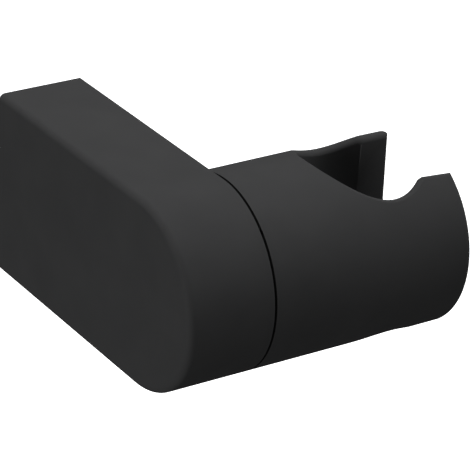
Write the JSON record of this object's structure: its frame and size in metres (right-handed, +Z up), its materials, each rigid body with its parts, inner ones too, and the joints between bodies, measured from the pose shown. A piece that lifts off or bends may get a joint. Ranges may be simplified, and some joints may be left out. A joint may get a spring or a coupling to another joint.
{
  "type": "hand shower holder",
  "caption": "Wall-fixed hand shower holder: a flat round-nosed arm carries a swivelling barrel with a conical bore for the handset and a slot for its hose.",
  "frame": {"origin": "midway between the two wall screws, in the plane of the wall", "axes": "+Y into the wall, +Z up, +X along the barrel to its free end"},
  "size_m": [0.0603, 0.0699, 0.037],
  "materials": {
    "black_coat": "matte black powder coat, very fine and even",
    "bare_casting": "bare die casting, dull",
    "stainless": "plain stainless steel",
    "brass": "turned brass",
    "acetal": "dark acetal, smooth",
    "rubber": "black rubber, greased"
  },
  "bodies": {
    "arm": {"arm_shell": "black_coat", "wall_bracket": "bare_casting", "grub_screw": "stainless", "pivot_bush": "acetal", "pivot_screw": "stainless", "friction_washer": "acetal", "disc_spring": "stainless", "lock_washer": "stainless", "pivot_nut": "brass"},
    "cradle": {"cradle_barrel": "black_coat", "spigot_ring": "rubber"}
  },
  "joints": [
    {"name": "cradle_swivel", "type": "hinge", "parent": "arm", "child": "cradle", "pos_m": [0.0087, -0.0514, 0], "axis": [1, 0, 0], "continuous": true}
  ]
}
